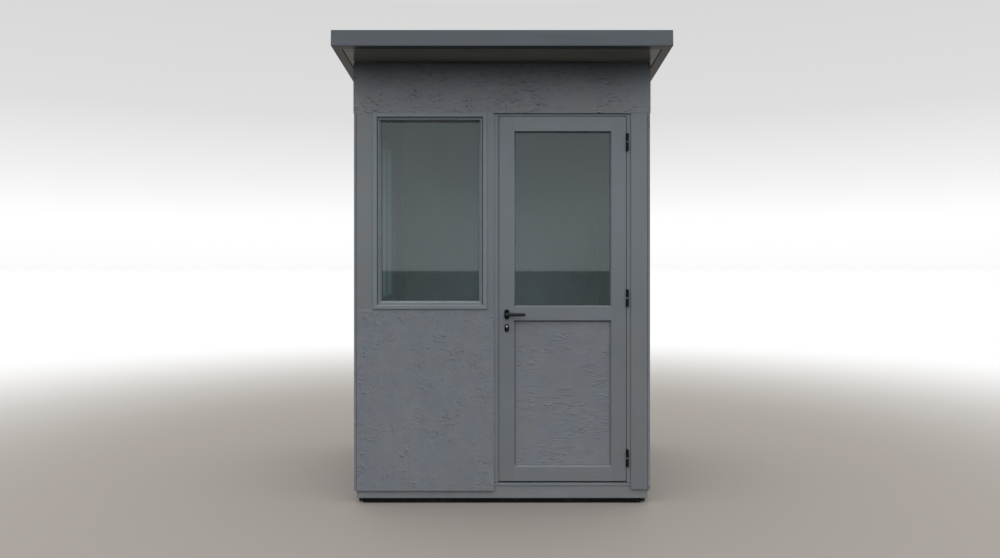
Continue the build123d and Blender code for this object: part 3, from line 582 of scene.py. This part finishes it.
# Panes: clear float glass with a blue-green cast. Both its faces mirror, which is counted at
# the first one, and a thin film of dust greys what is seen through it.
PANE_TINT = (0.80, 0.87, 0.875)
MIRROR_TINT = (1.0, 0.96, 0.95)
FILM_GREY = (0.20, 0.23, 0.24)
PANE_IOR = 1.6
MIRROR_ROUGHNESS = 0.02
pane = bpy.data.materials.new("pane")
pane.use_nodes = True
tree = pane.node_tree
tree.nodes.remove(tree.nodes["Principled BSDF"])
at = Wire(tree, tree.nodes.new("ShaderNodeTexCoord").outputs["Object"])
front_side = 1.0 - at.node("NewGeometry", out=6)
one_face = at.node("Fresnel", {}, {"IOR": PANE_IOR})
mirrored = front_side * (2.0 - one_face) * one_face
through = at.node("BsdfTransparent", {}, {"Color": (*PANE_TINT, 1.0)})
film = at.node("BsdfDiffuse", {}, {"Color": (*FILM_GREY, 1.0)})
mirror = at.node("BsdfGlossy", {}, {"Color": (*MIRROR_TINT, 1.0), "Roughness": MIRROR_ROUGHNESS})
smears = at.stretched((1.0, 1.0, 0.5)).cloud(5.0, 4.0, 0.6).ramp((0.4, 0.025), (0.75, 0.055))
seen = at.node("MixShader", {}, {0: smears, 1: through, 2: film})
glass = at.node("MixShader", {}, {0: mirrored, 1: seen, 2: mirror})
at.plug(tree.nodes["Material Output"], {"Surface": glass})
coat(pane, "front_window_glass", "left_window_glass", "right_window_glass", "door_glass")


# Door leaf: welded aluminium stiles and rails in a slightly darker coat, with a darker copy of
# it on the stiles as painted shade. Black gaskets hold the pane and the board, and grey seals
# in the leaf's edges nearly fill the joint to the frame.
LEAF_GREY = (0.113, 0.123, 0.138)
# The leaf's ledges get pale dust and a painted highlight.
coat(powder_coat("leaf_paint", LEAF_GREY, gloss=0.8, settled=0.08),
     "door_rail_bottom", "door_rail_middle", "door_rail_top", "door_glass_beads", "door_panel_beads")
# Painted shade: the stiles take a darker copy of the leaf's coat.
coat(powder_coat("stile_paint", shade(LEAF_GREY, 0.945), gloss=0.8),
     "door_stile_lock_side", "door_stile_hinge_side")

TO_RIGHT = np.array((1.0, 0.0, 0.0))
TO_BACK = np.array((0.0, 1.0, 0.0))
BEAD_COVER = 0.0065
LEAF_GASKET_HALF_FACE = 0.0012
leaf_gasket_section = oval(0.0, GASKET_OUT * GASKET_SEAT, LEAF_GASKET_HALF_FACE, GASKET_OUT / 2)
for name in ("door_glass", "door_panel"):
    low, high = (np.array(corner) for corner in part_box(name))
    for side, face_y, face_name in ((1, low[1], "outside"), (-1, high[1], "inside")):
        middle = (low + high) / 2
        middle[1] = face_y
        skin(
            f"{name}_gasket_{face_name}",
            mitred_ring(middle, TO_RIGHT, -side * TO_BACK, (high[0] - low[0]) / 2 - BEAD_COVER,
                        (high[2] - low[2]) / 2 - BEAD_COVER, leaf_gasket_section),
            rubber, "door", round_rows=True,
        )

leaf_low = np.array(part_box("door_stile_lock_side")[0])
leaf_high = np.array(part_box("door_stile_hinge_side")[1])
SEAL_GAP = 0.005
SEAL_RADIUS = 0.0022
SEAL_OVERLAP = 0.004
seal_middle = (leaf_low + leaf_high) / 2
seal_middle[1] = leaf_high[1] + SEAL_GAP / 2
skin(
    "door_frame_seal",
    mitred_ring(seal_middle, TO_RIGHT, -TO_BACK, (leaf_high[0] - leaf_low[0]) / 2 - SEAL_OVERLAP,
                (leaf_high[2] - leaf_low[2]) / 2 - SEAL_OVERLAP,
                oval(0.0, 0.0, SEAL_RADIUS, SEAL_RADIUS)),
    rubber, "booth", round_rows=True,
)

EDGE_GREY = (0.125, 0.137, 0.152)
EDGE_SEAL_HALF = 0.0022
EDGE_SEAL_SETBACK = 0.0045
EDGE_SEAL_ROOT = 0.0004
EDGE_CLEARANCE = 0.0021
DOOR_STOP_WIDTH = 0.014
HINGE_ROOM = 0.004
HINGE_SPAN = 0.1
edge_rubber = rubber_of("edge_rubber", EDGE_GREY)
seal_y = leaf_low[1] + EDGE_SEAL_SETBACK


def heights_of(piece):
    """The heights of all corners of a piece's mesh."""
    places = np.empty(len(piece.data.vertices) * 3)
    piece.data.vertices.foreach_get("co", places)
    return places[2::3]


hinge_levels = np.unique(np.concatenate(
    [heights_of(node["hinge_leaf_halves"]), heights_of(node["hinge_frame_halves"])]
).round(4))
between = np.flatnonzero(np.diff(hinge_levels) > 2 * HINGE_SPAN)
hinge_bottoms = np.array([hinge_levels[0], *hinge_levels[between + 1]])
hinge_tops = np.array([*hinge_levels[between], hinge_levels[-1]])
free_from = np.array([leaf_low[2], *(hinge_tops + HINGE_ROOM)])
free_to = np.array([*(hinge_bottoms - HINGE_ROOM), leaf_high[2]])


def upright_ends(x, heights):
    """Places on the leaf's edge at x, one for each of the heights."""
    return np.stack([np.full(len(heights), x), np.full(len(heights), seal_y), heights], axis=-1)


lock_gap = leaf_low[0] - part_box("door_jamb_lock_side")[1][0] + DOOR_STOP_WIDTH
hinge_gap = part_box("door_jamb_hinge_side")[0][0] - leaf_high[0] + DOOR_STOP_WIDTH
top_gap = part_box("door_head")[0][2] - leaf_high[2] + DOOR_STOP_WIDTH
for name, starts, ends, outwards, gap in (
    ("lock_side", upright_ends(leaf_low[0], leaf_low[2:]), upright_ends(leaf_low[0], leaf_high[2:]),
     (-1.0, 0.0, 0.0), lock_gap),
    ("hinge_side", upright_ends(leaf_high[0], free_from), upright_ends(leaf_high[0], free_to),
     (1.0, 0.0, 0.0), hinge_gap),
    ("top", upright_ends(leaf_low[0], leaf_high[2:]), upright_ends(leaf_high[0], leaf_high[2:]),
     (0.0, 0.0, 1.0), top_gap),
):
    half_reach = (gap - EDGE_CLEARANCE + EDGE_SEAL_ROOT) / 2
    edge_section = oval(half_reach - EDGE_SEAL_ROOT, 0.0, half_reach, EDGE_SEAL_HALF)
    skin(f"leaf_seal_{name}", strips(starts, ends, np.array(outwards), TO_BACK, edge_section),
         edge_rubber, "door")


# Door board: the same strand board in the lower half of the leaf, with its strands lying
# across, held by beads like the pane above it.
BOARD_GREY = (0.136, 0.145, 0.160)
BOARD_STRAND = (0.06, 0.019)
coat(
    strand_board("door_board", BOARD_GREY, ACROSS_FRONT, "LLLL", BOARD_STRAND, spread=0.9,
                 depth=0.0008, creased=0.9, crease_shade=0.0, pit_share=0.05),
    "door_panel",
)


# Hinges, lever and plates: die-cast and turned parts with a matt black coat, and a grey nylon
# ring between the knuckles of each hinge. The lever is glossier and crowned. The lock barrel
# is dark nickel with a polished plug, and the plates in the door's edge are satin nickel.
FITTING_BLACK = (0.0012, 0.0016, 0.0020)


def black_coat(name, gloss, roughness):
    """Black stoving enamel, a little rubbed: the material, its shader and its place."""
    made, shader, at = new_finish(name, gloss)
    rubbed = at.cloud(35.0, 3.0)
    worn = rubbed.ramp((0.3, 0.0), (0.75, 1.0))
    at.plug(shader, {
        "Base Color": worn.tone(shade(FITTING_BLACK, 0.75), shade(FITTING_BLACK, 1.6)),
        "Roughness": roughness + 0.1 * rubbed,
    })
    return made, shader, at


matt_black, shader, at = black_coat("matt_black", gloss=0.13, roughness=0.3)
at.plug(shader, {"Normal": at.cloud(900.0, 2.0).relief(0.00003)})
coat(matt_black, "hinge_frame_halves", "hinge_leaf_halves", "handle_plates")

LEVER_CROWN = 0.004
lever_black, shader, at = black_coat("lever_black", gloss=0.4, roughness=0.16)
lever_low, lever_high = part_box("door_lever")
lever_middle = (lever_low[2] + lever_high[2]) / 2
lever_half = (lever_high[2] - lever_low[2]) / 2
off_middle = at.node("SeparateXYZ", {}, {"Vector": at}, out=2) - lever_middle
crown = 1.0 - off_middle * off_middle * lever_half ** -2
at.plug(shader, {"Normal": crown.relief(LEVER_CROWN)})
coat(lever_black, "door_lever")

NICKEL = (0.24, 0.24, 0.235)
BARREL_NICKEL = (0.02, 0.02, 0.02)
PLUG_NICKEL = (0.80, 0.79, 0.77)


def nickel_of(name, colour, roughness):
    """Nickel with fine upright brush lines."""
    made, shader, at = new_finish(name)
    lines = at.stretched((900.0, 900.0, 30.0)).cloud(1.0, 2.0)
    at.plug(shader, {
        "Base Color": lines.tone(shade(colour, 0.85), colour),
        "Metallic": 1.0,
        "Roughness": roughness + 0.14 * lines,
        "Normal": lines.relief(0.00004),
    })
    return made


nickel = nickel_of("nickel", NICKEL, roughness=0.34)
coat(nickel, "lock_faceplate", "strike_plate")
coat(nickel_of("barrel_nickel", BARREL_NICKEL, roughness=0.3), "lock_cylinder")


def turned(centres, outward, profile, sides):
    """Small turned or pressed parts, one at each centre: the profile's (radius, out) points
    carried round outward on so many sides, where the first and last radius are 0."""
    outward = np.array(outward, float)
    first = np.cross(outward, (0.0, 1.0, 0.0) if abs(outward[1]) < 0.9 else (1.0, 0.0, 0.0))
    first /= np.linalg.norm(first)
    second = np.cross(outward, first)
    radius, out = np.array(profile, float).T
    turn = np.arange(sides) * 2 * np.pi / sides
    circle = np.cos(turn)[:, None] * first + np.sin(turn)[:, None] * second
    shape = radius[:, None, None] * circle + out[:, None, None] * outward
    return centres[:, None, None, :] + shape[None]


barrel_low, barrel_high = (np.array(corner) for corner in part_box("lock_cylinder"))
barrel_radius = (barrel_high[0] - barrel_low[0]) / 2
plug_middle = np.array([barrel_low[0] + barrel_radius, barrel_low[1], barrel_high[2] - barrel_radius])
PLUG = (
    (0.0, -0.001), (0.0050, -0.001), (0.0050, 0.0002), (0.0044, 0.0005), (0.0028, 0.0009),
    (0.0, 0.0011),
)
skin("lock_plug", turned(plug_middle[None], -TO_BACK, PLUG, 28),
     nickel_of("plug_nickel", PLUG_NICKEL, roughness=0.12), "door")
SLOT_HALF_LENGTH = 0.0036
SLOT_HALF_WIDTH = 0.0006
SLOT_HALF_OUT = 0.0002
SLOT_OUT = 0.0009
slot_middle = plug_middle - SLOT_OUT * TO_BACK
skin(
    "lock_key_slot",
    strips(slot_middle[None] - SLOT_HALF_LENGTH * UP, slot_middle[None] + SLOT_HALF_LENGTH * UP,
           TO_RIGHT, TO_BACK, oval(0.0, 0.0, SLOT_HALF_WIDTH, SLOT_HALF_OUT)),
    rubber, "door",
)

NYLON_GREY = (0.15, 0.155, 0.16)
NYLON_PROUD = 0.0004
NYLON_CHAMFER = 0.0004
NYLON_HALF_HEIGHT = 0.0021
knuckle_low, knuckle_high = (np.array(corner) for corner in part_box("hinge_frame_halves"))
knuckle_radius = (knuckle_high[0] - knuckle_low[0]) / 2
ring_edge = knuckle_radius + NYLON_PROUD
ring_middles = np.stack([
    np.full(len(hinge_tops), knuckle_low[0] + knuckle_radius),
    np.full(len(hinge_tops), knuckle_low[1] + knuckle_radius),
    (hinge_bottoms + hinge_tops) / 2,
], axis=-1)
NYLON_RING = (
    (0.0, -NYLON_HALF_HEIGHT), (ring_edge - NYLON_CHAMFER, -NYLON_HALF_HEIGHT), (ring_edge, 0.0),
    (ring_edge - NYLON_CHAMFER, NYLON_HALF_HEIGHT), (0.0, NYLON_HALF_HEIGHT),
)
skin("hinge_rings", turned(ring_middles, UP, NYLON_RING, 32),
     rubber_of("nylon", NYLON_GREY), "booth")

LATCH_SCREW = (
    (0.0, -0.001), (0.0036, -0.001), (0.0036, 0.0), (0.003, 0.0004), (0.0012, 0.0006),
    (0.0, 0.0002),
)
SCREW_INSET = 0.011
for name, plate, outward, face_x, body in (
    ("lock_faceplate_screws", "lock_faceplate", (-1, 0, 0), 0, "door"),
    ("strike_plate_screws", "strike_plate", (1, 0, 0), 1, "booth"),
):
    corners = np.array([list(corner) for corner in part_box(plate)])
    middle_y = corners[:, 1].mean()
    heights = (corners[0, 2] + SCREW_INSET, corners[1, 2] - SCREW_INSET)
    centres = np.array([(corners[face_x, 0], middle_y, height) for height in heights])
    skin(name, turned(centres, outward, LATCH_SCREW, 20), nickel, body)


# Roof: an insulated panel whose underside is the soffit, a ribbed steel sheet screwed on top
# and a folded sheet fascia all round. The soffit is glossy, the fascia is a darker grey, and
# each screw has a hexagonal head on a round washer.
SOFFIT_GREY = (0.30, 0.285, 0.245)
soffit, shader, at = new_finish("soffit", gloss=0.5)
slow = at.stretched((1.0, 6.0, 1.0)).cloud(2.2, 3.0, 0.6)
rolled = at.stretched((0.7, 55.0, 55.0)).cloud(1.0, 3.0, 0.6)
streaks = (0.5 * slow + 0.5 * rolled).ramp((0.35, 0.0), (0.65, 1.0))
at.plug(shader, {
    "Base Color": streaks.tone(shade(SOFFIT_GREY, 0.8), shade(SOFFIT_GREY, 1.2)),
    "Roughness": 0.12 + 0.14 * slow,
    "Normal": rolled.relief(0.0005),
})
coat(soffit, "roof_panel")

FASCIA_GREY = (0.062, 0.069, 0.081)
fascia, shader, at = new_finish("fascia", gloss=0.38)
bands = at.stretched((1.4, 1.4, 45.0)).cloud(1.0, 3.0, 0.6)
buckle = at.cloud(3.0, 1.0)
at.plug(shader, {
    "Base Color": weathered(at, FASCIA_GREY, 0.6 * bands + 0.4 * buckle, spread=0.07),
    "Roughness": 0.26 + 0.06 * buckle,
    "Normal": buckle.relief(0.0003),
})
coat(fascia, "fascia_front", "fascia_back", "fascia_left", "fascia_right")

SHEET_GREY = (0.105, 0.113, 0.120)
roof_coat, shader, at = new_finish("roof_coat", gloss=0.3)
washed = at.stretched((22.0, 1.4, 22.0)).cloud(1.0, 4.0, 0.6)
settled = at.cloud(2.6, 4.0, 0.6)
streaks = (0.5 * washed + 0.5 * settled).ramp((0.35, 0.0), (0.65, 1.0))
at.plug(shader, {
    "Base Color": streaks.tone(shade(SHEET_GREY, 0.88), shade(SHEET_GREY, 1.18)),
    "Roughness": 0.40 + 0.25 * settled,
    "Normal": settled.relief(0.0015),
})
coat(roof_coat, "roof_sheet")

sheet_low, sheet_high = (np.array(corner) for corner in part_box("roof_sheet"))
ceiling_low, ceiling_high = (np.array(corner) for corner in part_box("ceiling_panel"))
back_post_low, back_post_high = (np.array(corner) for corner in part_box("corner_post_back_left"))
fall = (ceiling_high[2] - back_post_high[2]) / (back_post_low[1] - ceiling_low[1])
RIB_COUNT = 6
SCREW_ROWS = 4
ROW_MARGIN = 0.16
WASHER = (
    (0.0, -0.001), (0.0085, -0.001), (0.0085, 0.0006), (0.0078, 0.0014), (0.004, 0.0018),
    (0.0, 0.0018),
)
HEX_HEAD = ((0.0, 0.001), (0.0046, 0.001), (0.0046, 0.0058), (0.0038, 0.0066), (0.0, 0.0068))
rib_step = (sheet_high[0] - sheet_low[0]) / RIB_COUNT
screw_x, screw_y = np.meshgrid(
    sheet_low[0] + (np.arange(RIB_COUNT) + 0.5) * rib_step,
    np.linspace(sheet_low[1] + ROW_MARGIN, sheet_high[1] - ROW_MARGIN, SCREW_ROWS),
)
screw_z = sheet_high[2] - (screw_y - sheet_low[1]) * fall
screws = np.stack([screw_x, screw_y, screw_z], axis=-1).reshape(-1, 3)
roof_up = np.array((0.0, fall, 1.0)) / np.hypot(fall, 1.0)
skin("roof_screw_washers", turned(screws, roof_up, WASHER, 16), rubber, "booth")
skin("roof_screw_heads", turned(screws, roof_up, HEX_HEAD, 6), foot_zinc, "booth")


# Floor and backdrop: a wide pale floor that fades to white, darker far off where only a pane
# mirrors it, under a sky that is white at the horizon, pale grey above it and bright overhead.
# The sky lights the booth like an overcast day, brighter from above than from all round.
FLOOR_REACH = 250.0
FLOOR_SEEN = (0.175, 0.162, 0.148)
FLOOR_LIT = (0.035, 0.035, 0.035)
FLOOR_FAR = (0.094, 0.118, 0.121)
FAR_FROM = 12.0
FAR_TO = 20.0
FADE_FROM = 2.5
FADE_TO = 9.0

floor_mesh = bpy.data.meshes.new("floor")
floor_mesh.from_pydata(
    [(-FLOOR_REACH, -FLOOR_REACH, 0.0), (FLOOR_REACH, -FLOOR_REACH, 0.0),
     (FLOOR_REACH, FLOOR_REACH, 0.0), (-FLOOR_REACH, FLOOR_REACH, 0.0)], [], [(0, 1, 2, 3)]
)
floor = bpy.data.objects.new("floor", floor_mesh)
bpy.context.scene.collection.objects.link(floor)
floor_finish = bpy.data.materials.new("floor_finish")
floor_finish.use_nodes = True
tree = floor_finish.node_tree
tree.nodes.remove(tree.nodes["Principled BSDF"])
at = Wire(tree, tree.nodes.new("ShaderNodeTexCoord").outputs["Object"])
distance = at.node("VectorMath", {"operation": "LENGTH"}, {0: at}, out=1)
far = at.node(
    "MapRange", {"interpolation_type": "SMOOTHSTEP"},
    {"Value": distance, "From Min": FADE_FROM, "From Max": FADE_TO},
)
far_off = at.node("MapRange", {}, {"Value": distance, "From Min": FAR_FROM, "From Max": FAR_TO})
camera_ray, glossy_ray, glass_ray = at.node("LightPath", out=(0, 3, 6))
seen_colour = camera_ray.math("MAXIMUM", glass_ray).tone(FLOOR_LIT, FLOOR_SEEN)
mirrored_colour = far_off.tone(FLOOR_SEEN, FLOOR_FAR)
matt = at.node("BsdfDiffuse", {}, {"Color": glossy_ray.tone(seen_colour, mirrored_colour)})
white = at.node("Emission", {}, {"Strength": 1.0})
at.plug(tree.nodes["Material Output"], {
    "Surface": at.node("MixShader", {}, {0: far * camera_ray, 1: matt, 2: white}),
})
floor_mesh.materials.append(floor_finish)

SKY_LIGHT = 1.08
SKY_RISE = 2.0
SKY_MIRRORED = (0.84, 1.0, 1.04)
SKY_BRIGHTEST = 2.0
SKY_SEEN = (
    (0.0, 0.485), (0.03, 0.5), (0.06, 0.5), (0.11, 0.44), (0.19, 0.365), (0.32, 0.34), (0.7, 1.0),
)
world = bpy.data.worlds.new("sky")
bpy.context.scene.world = world
world.use_nodes = True
tree = world.node_tree
at = Wire(tree, tree.nodes.new("ShaderNodeTexCoord").outputs["Generated"])
up = at.node("SeparateXYZ", {}, {"Vector": at}, out=2)
overcast = SKY_LIGHT + SKY_LIGHT * SKY_RISE * up
camera_ray, glossy_ray, glass_ray = at.node("LightPath", out=(0, 3, 6))
seen = camera_ray.math("MAXIMUM", glossy_ray).math("MAXIMUM", glass_ray)
strength = overcast + seen * (SKY_BRIGHTEST * up.ramp(*SKY_SEEN) - overcast)
at.plug(tree.nodes["Background"], {
    "Color": glossy_ray.tone((1.0, 1.0, 1.0), SKY_MIRRORED),
    "Strength": strength,
})


# Camera: level, 1.3 m above the ground, straight before the booth. The shift puts the point
# that it looks at a little above and right of the picture's middle.
CAMERA_PLACE = (0.0, -4.928, 1.312)
SENSOR_WIDTH = 36.0
FOCAL_PIXELS = 770.0
PICTURE_WIDTH = 1000.0
PICTURE_HEIGHT = 558.0
LOOKS_AT_PIXEL = (502.0, 267.0)
camera_data = bpy.data.cameras.new("camera")
camera_data.sensor_width = SENSOR_WIDTH
camera_data.lens = SENSOR_WIDTH * FOCAL_PIXELS / PICTURE_WIDTH
camera_data.shift_x = (PICTURE_WIDTH / 2 - LOOKS_AT_PIXEL[0]) / PICTURE_WIDTH
camera_data.shift_y = (LOOKS_AT_PIXEL[1] - PICTURE_HEIGHT / 2) / PICTURE_WIDTH
camera = bpy.data.objects.new("camera", camera_data)
camera.location = CAMERA_PLACE
camera.rotation_euler = (np.pi / 2, 0.0, 0.0)
bpy.context.scene.collection.objects.link(camera)
bpy.context.scene.camera = camera
bpy.context.scene.view_settings.view_transform = "Standard"
